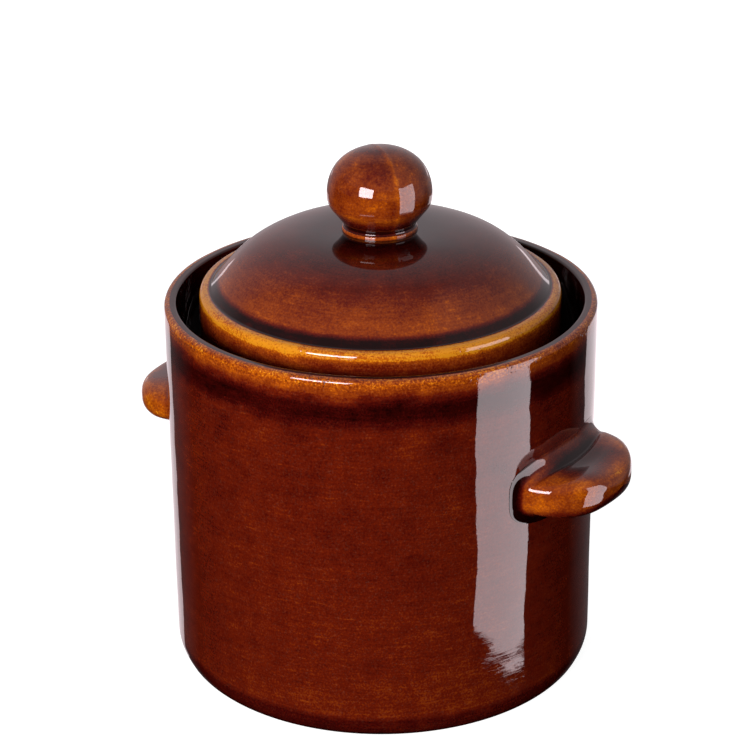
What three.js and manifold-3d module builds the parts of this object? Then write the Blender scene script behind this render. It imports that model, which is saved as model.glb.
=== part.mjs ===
// A small stoneware fermentation crock with a water-sealed lid, for pickles and cabbage.
// Millimetres, +Z up. The origin is the centre of the foot, and the two lug handles lie along X.
//
// The barrel, its collar and its handles are separate clay pieces, luted together with slip.
// The lid and its knob are luted the same way. The lid's skirt stands in a water-filled trough
// between the barrel's wall and the collar. Two loose half-round stones press the food down.

import * as THREE from "three";
import { mergeVertices } from "three/addons/utils/BufferGeometryUtils.js";
import Module from "manifold-3d";

const wasm = await Module();
wasm.setup();

// Driving dimensions of the barrel
const barrelDiameter = 170;
const rimHeight = 151;
const wallThickness = 8;
const baseThickness = 10;
const rimThickness = 5.2;
const rimOuterRound = 2.2;
const rimInnerRound = 1.2;
const footRound = 5;
const footRingWidth = 14;
const footRecess = 1.6;
const insideCove = 9;

// The water trough and the collar that forms its inner wall
const troughDepth = 36;
const troughFloorThickness = 7;
const troughCove = 4;
const troughLip = 0.8;
const collarDrop = 10;
const collarThickness = 5;
const mouthRound = 2.5;

// The lid: skirt, shoulder, cove and dome
const lidGap = 9;
const skirtThickness = 5;
const skirtHeight = 40.2;
const skirtEdgeRound = 1.2;
const skirtToCollarGap = 4;
const shoulderRound = 3;
const domeLedge = 6.3;
const domeCove = 2;
const domeCoveReach = 3;
const domeRise = 22.9;
const domeEdgeSlope = 1.11;
const domeSteepness = 0.47;
const domeFullness = 0.664;
const lidShell = 5.6;
const gasNotchDiameter = 9;

// The knob: foot, neck, flared underside, narrow band and round cap
const knobDiameter = 40.9;
const knobHeight = 32.3;
const knobFootDiameter = 29.6;
const knobFootHeight = 1.2;
const knobNeckDiameter = 28;
const knobNeckHeight = 1.2;
const knobFlareHeight = 9.4;
const knobFlareInset = 1;
const knobCapRise = 18.5;
const knobFullness = 0.62;

// The lug handles: dished, round-nosed lugs that flare into the wall
const handleReach = 23;
const handleWidth = 58.5;
const handleHeight = 95;
const handleThickness = 19.8;
const handleNose = 11.9;
const handleFillet = 4.5;
const handleDish = 3;
const handleSink = 4;
const handlePlanPower = 2.87;
const handleSectionPower = 4;
const handleTurn = 2.5; // degrees forward of the middle, on both sides

// The pair of weight stones
const stoneClearance = 7;
const stoneThickness = 15;
const stoneSplit = 3;
const stoneEdgeRound = 2.5;
const fingerHoleDiameter = 26;

// Clearances and mesh fineness
const slipJoint = 0.3;
const restGap = 0.3;
const turnSegments = 48;
const knobSegments = 36;
const handleSegments = 30;
const filletSteps = 5;
const noseSteps = 9;
const stoneArcSteps = 14;
const notchSides = 12;
const bevelSteps = 2;
const turnFacet = 7;
const knobFacet = 4;
const leastArcSteps = 3;
const weldDistance = 1e-4;

// Radii and heights that follow from the driving dimensions
const barrelRadius = barrelDiameter / 2;
const troughRadius = barrelRadius - rimThickness;
const insideRadius = barrelRadius - wallThickness;
const lidRadius = troughRadius - lidGap;
const skirtInside = lidRadius - skirtThickness;
const collarRadius = skirtInside - skirtToCollarGap;
const mouthRadius = collarRadius - collarThickness;
const troughFloor = rimHeight - troughDepth;
const flangeUnderside = troughFloor - troughFloorThickness;
const flangeLedge = flangeUnderside - slipJoint;
const collarTop = rimHeight - collarDrop;
const skirtBottom = troughFloor + restGap;
const ledgeTop = skirtBottom + skirtHeight;
const domeRadius = lidRadius - domeLedge;
const knobFootRadius = knobFootDiameter / 2;
const knobLand = ledgeTop + domeRise;

const brownGlaze = new THREE.MeshStandardMaterial({ color: 0x64210a, roughness: 0.12, metalness: 0 });
const honeyGlaze = new THREE.MeshStandardMaterial({ color: 0x8a430f, roughness: 0.12, metalness: 0 });
const bareStoneware = new THREE.MeshStandardMaterial({ color: 0xb79c7c, roughness: 0.85, metalness: 0 });

// A geometry with shared vertices merged and collapsed triangles dropped, as a solid for cutting.
function solidOf(geometry) {
  const bare = geometry.index ? geometry.toNonIndexed() : geometry.clone();
  bare.deleteAttribute("normal");
  bare.deleteAttribute("uv");
  const merged = mergeVertices(bare, weldDistance);
  const kept = [];
  for (let i = 0; i < merged.index.count; i += 3) {
    const [a, b, c] = [0, 1, 2].map((k) => merged.index.getX(i + k));
    if (a !== b && b !== c && c !== a) kept.push(a, b, c);
  }
  const vertProperties = new Float32Array(merged.attributes.position.array);
  return new wasm.Manifold(new wasm.Mesh({ numProp: 3, vertProperties, triVerts: new Uint32Array(kept) }));
}

function geometryOf(solid) {
  const mesh = solid.getMesh();
  const geometry = new THREE.BufferGeometry();
  geometry.setAttribute("position", new THREE.BufferAttribute(new Float32Array(mesh.vertProperties), 3));
  geometry.setIndex(new THREE.BufferAttribute(new Uint32Array(mesh.triVerts), 1));
  geometry.computeVertexNormals();
  return geometry;
}

// A profile of radius and height, turned about the upright axis as on a potter's wheel.
// Straight stretches take one facet, and curved ones a facet for each facet length.
function turned(profile, segments = turnSegments, facet = turnFacet) {
  const points = [profile.curves[0].getPoint(0)];
  for (const curve of profile.curves) {
    const arcSteps = Math.max(leastArcSteps, Math.round(curve.getLength() / facet));
    const steps = curve.isLineCurve ? 1 : arcSteps;
    for (let i = 1; i <= steps; i++) points.push(curve.getPoint(i / steps));
  }
  return solidOf(new THREE.LatheGeometry(points, segments).rotateX(Math.PI / 2));
}

function piece(name, geometry, material) {
  const mesh = new THREE.Mesh(geometry, material);
  mesh.name = name;
  return mesh;
}

// The barrel: a foot ring, a straight wall, and a thinner rim above the ledge that carries the collar.
function barrel() {
  const footInside = barrelRadius - footRound - footRingWidth;
  const profile = new THREE.Path()
    .moveTo(0, footRecess)
    .lineTo(footInside - footRecess, footRecess)
    .lineTo(footInside, 0)
    .lineTo(barrelRadius - footRound, 0)
    .quadraticCurveTo(barrelRadius, 0, barrelRadius, footRound)
    .lineTo(barrelRadius, rimHeight - rimOuterRound)
    .quadraticCurveTo(barrelRadius, rimHeight, barrelRadius - rimOuterRound, rimHeight)
    .lineTo(troughRadius + rimInnerRound, rimHeight)
    .quadraticCurveTo(troughRadius, rimHeight, troughRadius, rimHeight - rimInnerRound)
    .lineTo(troughRadius, flangeLedge)
    .lineTo(insideRadius, flangeLedge)
    .lineTo(insideRadius, baseThickness + insideCove)
    .quadraticCurveTo(insideRadius, baseThickness, insideRadius - insideCove, baseThickness)
    .lineTo(0, baseThickness);
  return turned(profile);
}

// The collar: a flange that is the trough's floor, coved up to the barrel, and a round-lipped neck.
function collar() {
  const flangeRadius = troughRadius - slipJoint;
  const lipRadius = collarThickness / 2;
  const lipInside = flangeRadius - troughLip;
  const profile = new THREE.Path()
    .moveTo(mouthRadius + mouthRound, flangeUnderside)
    .lineTo(flangeRadius, flangeUnderside)
    .lineTo(flangeRadius, troughFloor + troughCove)
    .lineTo(lipInside, troughFloor + troughCove)
    .quadraticCurveTo(lipInside, troughFloor, lipInside - troughCove, troughFloor)
    .lineTo(collarRadius + troughCove, troughFloor)
    .quadraticCurveTo(collarRadius, troughFloor, collarRadius, troughFloor + troughCove)
    .lineTo(collarRadius, collarTop - lipRadius)
    .absarc(collarRadius - lipRadius, collarTop - lipRadius, lipRadius, 0, Math.PI, false)
    .lineTo(mouthRadius, flangeUnderside + mouthRound)
    .quadraticCurveTo(mouthRadius, flangeUnderside, mouthRadius + mouthRound, flangeUnderside);
  return turned(profile);
}

// Closed rings of points skinned into one solid, with a fan over each end.
function lofted(rings) {
  const count = rings[0].length;
  const centres = [rings[0], rings.at(-1)].map((ring) => {
    const middle = ring.reduce((sum, point) => sum.add(point), new THREE.Vector3());
    return middle.divideScalar(count);
  });
  const points = [...rings.flat(), ...centres];
  const [rootCentre, noseCentre] = [points.length - 2, points.length - 1];
  const noseRing = (rings.length - 1) * count;
  const index = [];
  for (let i = 0; i < count; i++) {
    const next = (i + 1) % count;
    for (let start = 0; start < noseRing; start += count) {
      index.push(start + i, start + next, start + count + i);
      index.push(start + next, start + count + next, start + count + i);
    }
    index.push(rootCentre, next, i, noseCentre, noseRing + i, noseRing + next);
  }
  const geometry = new THREE.BufferGeometry().setFromPoints(points);
  geometry.setIndex(index);
  return solidOf(geometry);
}

// One lug handle, reaching along +X. Each ring lies on a cylinder about the barrel, at its own distance
// from the wall: a soft-cornered oblong that flares at the wall, narrows in plan and rounds at the nose.
function lugHandle() {
  const signedPower = (value) => Math.sign(value) * Math.abs(value) ** (2 / handleSectionPower);
  const ring = (distance) => {
    const out = Math.max(distance, 0);
    const intoFillet = Math.max(handleFillet - out, 0);
    const flare = handleFillet - Math.sqrt(handleFillet ** 2 - intoFillet ** 2);
    const intoNose = Math.max((out - handleReach + handleNose) / handleNose, 0);
    const halfHeight = (handleThickness / 2) * Math.sqrt(1 - intoNose ** 2) + flare;
    const halfWidth = (handleWidth / 2) * Math.sqrt(1 - (out / handleReach) ** handlePlanPower) + flare;
    const dish = handleDish * 4 * (out / handleReach) * (1 - out / handleReach);
    return Array.from({ length: handleSegments }, (_, i) => {
      const angle = (2 * Math.PI * i) / handleSegments;
      const across = signedPower(Math.cos(angle));
      const side = halfWidth * across;
      const sag = Math.sin(angle) > 0 ? dish * (1 - across ** 2) : 0;
      const height = handleHeight + halfHeight * signedPower(Math.sin(angle)) - sag;
      return new THREE.Vector3(Math.sqrt((barrelRadius + distance) ** 2 - side ** 2), side, height);
    });
  };
  const distances = [-handleSink];
  for (let i = 0; i < filletSteps; i++) distances.push(handleFillet * (i / filletSteps) ** 2);
  for (let i = 0; i <= noseSteps; i++) {
    const towardNose = Math.sin((Math.PI / 2) * (i / noseSteps));
    distances.push(Math.min(handleFillet + (handleReach - handleFillet) * towardNose, handleReach));
  }
  const wall = new THREE.Path()
    .moveTo(0, 0)
    .lineTo(barrelRadius + slipJoint, 0)
    .lineTo(barrelRadius + slipJoint, rimHeight)
    .lineTo(0, rimHeight);
  return lofted(distances.map(ring)).subtract(turned(wall));
}

// The lid: skirt, rounded shoulder, coved ledge and dome, with two notches that let gas bubble out.
function lid() {
  const domeHeight = domeRise - domeCove;
  const innerRadius = domeRadius - lidShell;
  const ledgeUnderside = ledgeTop - lidShell;
  const domeUnderside = knobLand - lidShell;
  const coveTop = ledgeTop + domeCove;
  const edgeUp = domeSteepness * domeHeight;
  const edgeIn = (radius) => radius - edgeUp / domeEdgeSlope;
  const fullAt = (radius) => knobFootRadius + domeFullness * (radius - knobFootRadius);
  const profile = new THREE.Path()
    .moveTo(0, domeUnderside)
    .lineTo(knobFootRadius, domeUnderside)
    .bezierCurveTo(
      fullAt(innerRadius), domeUnderside,
      edgeIn(innerRadius), ledgeTop + edgeUp,
      innerRadius, ledgeTop,
    )
    .quadraticCurveTo(innerRadius, ledgeUnderside, innerRadius + lidShell / 2, ledgeUnderside)
    .lineTo(skirtInside - domeCove, ledgeUnderside)
    .quadraticCurveTo(skirtInside, ledgeUnderside, skirtInside, ledgeUnderside - domeCove)
    .lineTo(skirtInside, skirtBottom + skirtEdgeRound)
    .quadraticCurveTo(skirtInside, skirtBottom, skirtInside + skirtEdgeRound, skirtBottom)
    .lineTo(lidRadius - skirtEdgeRound, skirtBottom)
    .quadraticCurveTo(lidRadius, skirtBottom, lidRadius, skirtBottom + skirtEdgeRound)
    .lineTo(lidRadius, ledgeTop - shoulderRound)
    .quadraticCurveTo(lidRadius, ledgeTop, lidRadius - shoulderRound, ledgeTop)
    .lineTo(domeRadius + domeCoveReach, ledgeTop)
    .quadraticCurveTo(domeRadius + domeCove / domeEdgeSlope, ledgeTop, domeRadius, coveTop)
    .bezierCurveTo(
      edgeIn(domeRadius), coveTop + edgeUp,
      fullAt(domeRadius), knobLand,
      knobFootRadius, knobLand,
    )
    .lineTo(0, knobLand);
  const notchRadius = gasNotchDiameter / 2;
  const notchLength = 2 * (lidRadius + notchRadius);
  const notch = new THREE.CylinderGeometry(notchRadius, notchRadius, notchLength, notchSides);
  return turned(profile).subtract(solidOf(notch.translate(0, 0, skirtBottom)));
}

// The knob: a low foot on the dome, a neck, a flared underside, a narrow band and a full round cap.
function knob() {
  const base = knobLand + slipJoint;
  const top = base + knobHeight;
  const neckRadius = knobNeckDiameter / 2;
  const bandRadius = knobDiameter / 2;
  const bandHeight = top - knobCapRise;
  const neckTop = base + knobFootHeight + knobNeckHeight;
  const flareTop = base + knobFlareHeight;
  const capPull = bandHeight + knobFullness * knobCapRise;
  const profile = new THREE.Path()
    .moveTo(0, base)
    .lineTo(knobFootRadius, base)
    .lineTo(knobFootRadius, base + knobFootHeight / 2)
    .quadraticCurveTo(neckRadius, base + knobFootHeight, neckRadius, neckTop)
    .lineTo(bandRadius - knobFlareInset, flareTop)
    .quadraticCurveTo(bandRadius, (flareTop + bandHeight) / 2, bandRadius, bandHeight)
    .bezierCurveTo(bandRadius, capPull, knobFullness * bandRadius, top, 0, top);
  return turned(profile, knobSegments, knobFacet);
}

// One half-round stone on the +X side of the split, with half of the finger hole in its straight edge.
function weightStone() {
  const flatEdge = stoneSplit / 2;
  const radius = insideRadius - stoneClearance;
  const fingerRadius = fingerHoleDiameter / 2;
  const cornerAngle = Math.acos(flatEdge / radius);
  const notchAngle = Math.acos(flatEdge / fingerRadius);
  const outline = new THREE.Shape();
  outline.absarc(0, 0, radius, -cornerAngle, cornerAngle, false);
  outline.absarc(0, 0, fingerRadius, notchAngle, -notchAngle, true);
  outline.closePath();
  const slab = new THREE.ExtrudeGeometry(outline, {
    depth: stoneThickness - 2 * stoneEdgeRound,
    bevelThickness: stoneEdgeRound,
    bevelSize: stoneEdgeRound,
    bevelOffset: -stoneEdgeRound,
    bevelSegments: bevelSteps,
    curveSegments: stoneArcSteps,
  });
  return solidOf(slab.translate(0, 0, baseThickness + restGap + stoneEdgeRound));
}

// The two sides are the same solid turned half round about the upright axis, and each may sit some degrees
// further forward.
function pair(name, solid, material, forward = 0) {
  const turn = THREE.MathUtils.degToRad(forward);
  const group = new THREE.Group();
  ["right", "left"].forEach((side, i) => {
    const mesh = piece(`${side}_${name}`, geometryOf(solid), material);
    mesh.rotation.z = i === 0 ? -turn : Math.PI + turn;
    group.add(mesh);
  });
  return group;
}

const crock = new THREE.Group();
crock.add(piece("barrel", geometryOf(barrel()), brownGlaze));
crock.add(piece("water_seal_collar", geometryOf(collar()), brownGlaze));
crock.add(pair("lug_handle", lugHandle(), honeyGlaze, handleTurn));

const lidGroup = new THREE.Group();
lidGroup.add(piece("lid", geometryOf(lid()), honeyGlaze));
lidGroup.add(piece("lid_knob", geometryOf(knob()), honeyGlaze));

const assembly = new THREE.Group();
assembly.add(crock, lidGroup, pair("weight_stone", weightStone(), bareStoneware));

export default assembly;
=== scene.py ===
import math

import bmesh
import bpy
from mathutils import Matrix, Quaternion, Vector, noise


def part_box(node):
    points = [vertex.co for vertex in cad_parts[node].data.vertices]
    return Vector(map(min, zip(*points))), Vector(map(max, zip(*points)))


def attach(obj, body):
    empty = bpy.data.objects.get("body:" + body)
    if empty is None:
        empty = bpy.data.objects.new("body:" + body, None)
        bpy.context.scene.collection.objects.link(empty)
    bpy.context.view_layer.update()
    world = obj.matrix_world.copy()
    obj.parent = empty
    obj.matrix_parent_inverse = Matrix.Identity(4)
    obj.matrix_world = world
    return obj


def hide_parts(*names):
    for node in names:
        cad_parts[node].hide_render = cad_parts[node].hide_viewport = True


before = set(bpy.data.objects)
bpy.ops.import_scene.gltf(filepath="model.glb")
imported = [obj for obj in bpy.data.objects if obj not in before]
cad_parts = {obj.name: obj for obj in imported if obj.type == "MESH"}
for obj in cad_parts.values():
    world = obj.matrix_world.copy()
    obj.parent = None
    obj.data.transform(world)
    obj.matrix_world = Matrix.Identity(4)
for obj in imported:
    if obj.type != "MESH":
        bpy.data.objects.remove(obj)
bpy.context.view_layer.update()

mm = 0.001
print("frame loaded:", ", ".join(sorted(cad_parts)))


# small helpers

def linearColour(hexText):
    channels = [int(hexText[i:i + 2], 16) / 255 for i in (1, 3, 5)]
    linear = [c / 12.92 if c <= 0.04045 else ((c + 0.055) / 1.055) ** 2.4 for c in channels]
    return (*linear, 1.0)


def addNode(tree, kind, inputs=None, **settings):
    node = tree.nodes.new(kind)
    for name, value in settings.items():
        setattr(node, name, value)
    for socket, value in (inputs or {}).items():
        if isinstance(value, bpy.types.NodeSocket):
            tree.links.new(value, node.inputs[socket])
        else:
            node.inputs[socket].default_value = value
    return node


def maths(tree, operation, *values, **settings):
    node = addNode(tree, "ShaderNodeMath", dict(enumerate(values)), operation=operation, **settings)
    return node.outputs[0]


def vectorMaths(tree, operation, *values, **sockets):
    inputs = {**dict(enumerate(values)), **sockets}
    node = addNode(tree, "ShaderNodeVectorMath", inputs, operation=operation)
    return node.outputs["Value" if operation in ("LENGTH", "DOT_PRODUCT") else "Vector"]


def remap(tree, value, source, target=(0.0, 1.0), **settings):
    inputs = dict(enumerate((value, *source, *target)))
    return addNode(tree, "ShaderNodeMapRange", inputs, **settings).outputs[0]


def mixColours(tree, share, first, second):
    inputs = {0: share, 6: first, 7: second}
    return addNode(tree, "ShaderNodeMix", inputs, data_type="RGBA").outputs[2]


def noiseField(tree, place, scale, detail, **sockets):
    inputs = {"Vector": place, "Scale": scale, "Detail": detail, **sockets}
    kind = "4D" if "W" in sockets else "3D"
    return addNode(tree, "ShaderNodeTexNoise", inputs, noise_dimensions=kind).outputs[0]


def perMm(size):    # a pattern's scale from its size in mm
    return 1 / (size * mm)


def setStops(ramp, stops):
    marks = ramp.color_ramp.elements
    while len(marks) < len(stops):
        marks.new(0.5)
    for mark, (spot, colour) in zip(marks, stops):
        mark.position = spot
        mark.color = colour


def freshMaterial(name):
    material = bpy.data.materials.new(name)
    material.use_nodes = True
    material.node_tree.nodes.clear()
    return material, material.node_tree


def addObject(name, data):
    holder = bpy.data.objects.new(name, data)
    bpy.context.scene.collection.objects.link(holder)
    return holder


def ladder(place, rungs):    # a value read off straight stretches between (place, value) rungs
    for (low, lowValue), (high, highValue) in zip(rungs, rungs[1:]):
        if place <= high:
            share = (place - low) / (high - low)
            return lowValue + (highValue - lowValue) * max(share, 0)
    return rungs[-1][1]


def slope(place, span):    # from 0 to 1 over the span
    return ladder(place, ((span[0], 0), (span[1], 1)))


def cubicSpot(pulls, t):
    weights = ((1 - t) ** 3, 3 * t * (1 - t) ** 2, 3 * t ** 2 * (1 - t), t ** 3)
    return sum((pull * weight for pull, weight in zip(pulls, weights)), Vector((0, 0)))


# camera, fitted to the outline of the photographed crock

cameraPlan = {
    "azimuth": 30.0,         # degrees to the right of the view along +Y
    "elevation": 24.86,
    "distance": 0.9331,
    "roll": -0.482,
    "lens": 113.65,          # on a 36 mm sensor
    "target": (0.0, 0.0, 0.100),
    "aimRight": -0.00538,    # the picture's middle lies this far from the target
    "aimUp": 0.01728,
}


def cameraAxes(plan):
    turn, rise, roll = (math.radians(plan[key]) for key in ("azimuth", "elevation", "roll"))
    towards = Vector((math.sin(turn), -math.cos(turn), 0))
    level = Vector((math.cos(turn), math.sin(turn), 0))
    back = towards * math.cos(rise) + Vector((0, 0, math.sin(rise)))
    right = level * math.cos(roll) + back.cross(level) * math.sin(roll)
    return towards, level, back, right


def placeCamera(plan):
    towards, level, back, right = cameraAxes(plan)
    target = Vector(plan["target"])
    spot = target + back * plan["distance"]
    aim = target + right * plan["aimRight"] + back.cross(right) * plan["aimUp"]
    back = (spot - aim).normalized()
    right = (right - back * right.dot(back)).normalized()
    turned = Matrix((right, back.cross(right), back)).transposed().to_4x4()
    camera = addObject("photoCamera", bpy.data.cameras.new("photoCamera"))
    camera.data.lens = plan["lens"]
    camera.matrix_world = Matrix.Translation(spot) @ turned
    bpy.context.scene.camera = camera


placeCamera(cameraPlan)
print("camera placed")


# studio: white paper all round, lamps for the clay, and panels that only the glaze mirrors

studioPlan = {
    "middle": (0.0, 0.0, 0.1),
    "fill": "#383838",
    "paperWhite": "#ffffff",
    "sweepRadius": 6.0,
    "sweepSides": 96,
    "floorPaper": "#a4a4a4",
    "floorGlow": (0.94, 1.0),      # white further out; beside the crock the glow is dimmed, a painted shade under the real contact shadow
    "floorGlowReach": (0.10, 0.22),
    "backTurn": 180.0,             # the glaze mirrors bright paper behind the crock, and less ahead of it
    "backTilt": 18.0,
    "backGlow": ((0.30, 0.0), (0.45, 0.16), (0.60, 0.32), (0.80, 0.47), (0.95, 0.59), (1.00, 0.70)),
    "sideTurn": 95.0,
    "sideTilt": 30.0,
    "sideSpread": (0.60, 0.86),
    "sideGlow": 0.34,
    "ceilingSpread": (0.05, 0.06),
    "ceilingGlow": 0.08,
    "skylightSpread": (0.40, 0.42),
    "skylightGlow": 0.20,
    "horizon": (-0.36, -0.10),     # below it the paper falls away from the lamps
    "belowHorizon": 0.25,
    "mirrorTint": "#ffeff4",       # mirrored light leans to lilac beside the orange glaze
}

# azimuths are degrees to the right of the camera, radiance is what a mirror would show
studioLamps = (
    {"name": "keySoftbox", "azimuth": -26, "elevation": 19, "distance": 0.9,
     "width": 0.32, "height": 0.32, "radiance": 22, "lights": "clay"},
    {"name": "overheadPanel", "azimuth": 180, "elevation": 64, "distance": 1.0,
     "width": 2.0, "height": 2.3, "radiance": 0.12, "lights": "clay"},
    {"name": "rightSoftbox", "azimuth": 66, "elevation": 4, "distance": 0.82,
     "width": 0.45, "height": 0.98, "radiance": 0.9, "lights": "clay"},
    {"name": "backSoftbox", "azimuth": 180, "elevation": 20, "distance": 1.0,
     "width": 0.60, "height": 0.60, "radiance": 2.6, "lights": "clay"},
    {"name": "leftWindow", "azimuth": -30, "elevation": 21, "distance": 1.1,
     "width": 0.56, "height": 0.40, "radiance": 22, "lights": "glaze"},
    {"name": "rightPanel", "azimuth": 66, "elevation": -3, "distance": 0.82,
     "width": 0.45, "height": 0.936, "roll": -3.5, "radiance": 4.9, "lights": "glaze"},
    {"name": "rightRimGlow", "azimuth": 154, "elevation": 0, "distance": 0.96,
     "width": 0.20, "height": 0.06, "radiance": 1.4, "lights": "glaze"},
    {"name": "leftRimGlow", "azimuth": -154, "elevation": 0, "distance": 0.96,
     "width": 0.09, "height": 0.05, "radiance": 1.4, "lights": "glaze"},
    {"name": "rightReflector", "azimuth": 158, "elevation": -20, "distance": 0.96,
     "width": 0.74, "height": 0.22, "radiance": 1.2, "lights": "glaze"},
    {"name": "leftReflector", "azimuth": -163, "elevation": -26, "distance": 1.0,
     "width": 0.56, "height": 0.46, "radiance": 0.95, "lights": "glaze"},
)


def studioRay(azimuth, elevation):
    towards, level, back, right = cameraAxes(cameraPlan)
    turn, rise = math.radians(azimuth), math.radians(elevation)
    flat = towards * math.cos(turn) + level * math.sin(turn)
    return flat * math.cos(rise) + Vector((0, 0, math.sin(rise)))


def placeLamp(lamp):
    ray = studioRay(lamp["azimuth"], lamp["elevation"])
    light = bpy.data.lights.new(lamp["name"], "AREA")
    light.shape = "RECTANGLE"
    light.size, light.size_y = lamp["width"], lamp["height"]
    light.energy = math.pi * lamp["width"] * lamp["height"] * lamp["radiance"]
    if lamp["lights"] == "glaze":
        light.color = linearColour(studioPlan["mirrorTint"])[:3]
    holder = addObject(lamp["name"], light)
    holder.location = Vector(studioPlan["middle"]) + ray * lamp["distance"]
    roll = Quaternion((0, 0, 1), math.radians(lamp.get("roll", 0)))
    holder.rotation_euler = ((-ray).to_track_quat("-Z", "Y") @ roll).to_euler()
    holder.visible_camera = False
    holder.visible_diffuse = lamp["lights"] == "clay"
    holder.visible_glossy = lamp["lights"] == "glaze"


# matt white paper: pure white to the eye; the glaze mirrors it as bright as the lamps leave each side
def whitePaper(name, isFloor):
    material, tree = freshMaterial(name)
    ray = addNode(tree, "ShaderNodeLightPath").outputs
    seen = maths(tree, "MAXIMUM", ray["Is Camera Ray"], ray["Is Transmission Ray"])
    place = addNode(tree, "ShaderNodeTexCoord").outputs["Object"]
    if isFloor:
        # painted shade: the floor's glow dims towards the crock, under its real contact shadow
        reach = vectorMaths(tree, "LENGTH", place)
        glow = remap(tree, reach, studioPlan["floorGlowReach"], studioPlan["floorGlow"])
        glow = maths(tree, "MULTIPLY", seen, glow)
        paperColour = linearColour(studioPlan["floorPaper"])
        paper = addNode(tree, "ShaderNodeBsdfDiffuse", {"Color": paperColour})
        light = addNode(tree, "ShaderNodeEmission", {"Strength": glow})
        sheet = addNode(tree, "ShaderNodeAddShader", {0: paper.outputs[0], 1: light.outputs[0]})
    else:
        outward = vectorMaths(tree, "NORMALIZE", place)
        backRay = studioRay(studioPlan["backTurn"], studioPlan["backTilt"])
        sideRay = studioRay(studioPlan["sideTurn"], studioPlan["sideTilt"])
        overhead = Vector((0, 0, 1))
        behind = vectorMaths(tree, "DOT_PRODUCT", outward, backRay)
        ramp = addNode(tree, "ShaderNodeValToRGB", {0: behind})
        setStops(ramp, [(spot, (glow, glow, glow, 1)) for spot, glow in studioPlan["backGlow"]])
        mirrored = ramp.outputs[0]
        for key, aim in (("side", sideRay), ("ceiling", overhead), ("skylight", overhead)):
            facing = vectorMaths(tree, "DOT_PRODUCT", outward, aim)
            patch = remap(tree, facing, studioPlan[key + "Spread"], (0, studioPlan[key + "Glow"]),
                          interpolation_type="SMOOTHSTEP")
            mirrored = maths(tree, "MAXIMUM", mirrored, patch)
        rise = addNode(tree, "ShaderNodeSeparateXYZ", {0: outward}).outputs["Z"]
        dim = remap(tree, rise, studioPlan["horizon"], (studioPlan["belowHorizon"], 1))
        mirrored = maths(tree, "MULTIPLY", mirrored, dim)
        mirrored = maths(tree, "MULTIPLY", mirrored, ray["Is Glossy Ray"])
        glow = maths(tree, "MAXIMUM", mirrored, seen)
        hue = mixColours(tree, seen, linearColour(studioPlan["mirrorTint"]),
                         linearColour(studioPlan["paperWhite"]))
        sheet = addNode(tree, "ShaderNodeEmission", {"Color": hue, "Strength": glow})
    addNode(tree, "ShaderNodeOutputMaterial", {"Surface": sheet.outputs[0]})
    return material


def placeSweep():
    for name, isFloor in (("paperFloor", True), ("paperBackdrop", False)):
        shape = bmesh.new()
        if isFloor:
            bmesh.ops.create_circle(shape, cap_ends=True, radius=studioPlan["sweepRadius"],
                                    segments=studioPlan["sweepSides"])
        else:
            bmesh.ops.create_uvsphere(shape, u_segments=studioPlan["sweepSides"],
                                      v_segments=studioPlan["sweepSides"] // 2,
                                      radius=studioPlan["sweepRadius"])
        mesh = bpy.data.meshes.new(name)
        shape.to_mesh(mesh)
        shape.free()
        mesh.materials.append(whitePaper(name, isFloor))
        sheet = addObject(name, mesh)
        sheet.visible_glossy = not isFloor        # the backdrop goes on below the floor in the glaze
        sheet.visible_diffuse = isFloor
        sheet.visible_shadow = False


for studioLamp in studioLamps:
    placeLamp(studioLamp)
placeSweep()
world = bpy.data.worlds.new("dimStudio")
world.use_nodes = True
world.node_tree.nodes["Background"].inputs["Color"].default_value = linearColour(studioPlan["fill"])
bpy.context.scene.world = world
bpy.context.scene.view_settings.view_transform = "Standard"
print("studio lit with", len(studioLamps), "lamps")


# brown stoneware glaze: a clear iron glaze over pale clay. Thin glaze on edges looks honey amber,
# a full coat red brown, and pooled glaze nearly black. It mirrors the studio, slightly rippled.

glazeLook = {
    "coats": ((0.00, "#f0981c"), (0.12, "#cc6209"), (0.28, "#9a3f0d"), (0.50, "#6a1a08"),
              (0.74, "#430805"), (1.00, "#170202")),
    "clay": "#b79c7c",
    "pitColour": "#2a0a06",
    "noiseRoughness": 0.6,
    "details": {"mottle": 6.0, "cloud": 2.0, "grain": 2.0, "peel": 1.0, "border": 5.0, "crystal": 2.0},
    "streakLength": 18.0,      # mm along the wheel's turning
    "streakThickness": 1.0,
    "streakDetail": 3.0,
    "streakShare": 0.24,       # shares are how far each pattern thins or thickens the coat
    "streakHeight": 0.006,
    "fleckLength": 4.0,        # short dashes of thin glaze on the throwing marks
    "fleckThickness": 0.8,
    "fleckScale": 0.6,
    "fleckDetail": 2.0,
    "fleckCut": (0.57, 0.74),
    "fleckCrowd": (0.62, 0.42),
    "fleckShare": 0.11,
    "mottleSize": 7.0,
    "mottleShare": 0.34,
    "cloudSize": 48.0,
    "cloudShare": 0.22,
    "grainSize": 0.8,
    "grainShare": 0.50,
    "borderSize": 15.0,
    "borderShare": 1.2,
    "crystalSize": 0.7,        # pale specks that hang in the glaze, and drown where it pooled
    "crystalCut": (0.54, 0.80),
    "crystalFade": (0.86, 0.62),
    "crystalShare": 0.06,
    "wornCut": (0.35, 0.65),   # broken glaze along the rim's edge
    "wornShare": 0.16,
    "seamShare": 0.14,
    "pitSpacing": 1.4,
    "pitEdge": (0.12, 0.30),
    "pitCrowding": 14.0,
    "pitCrowd": (0.46, 0.60),
    "pitDetail": 2.0,
    "pitHeight": 0.12,         # mm
    "wipeLine": (0.98, 1.04),
    "peelSize": 3.2,
    "peelHeight": 0.010,
    "ior": 1.52,
    "glossCut": (0.3, 0.7),
    "smoothest": 0.012,
    "roughest": 0.034,
    "clayRoughness": 0.86,
}


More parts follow.
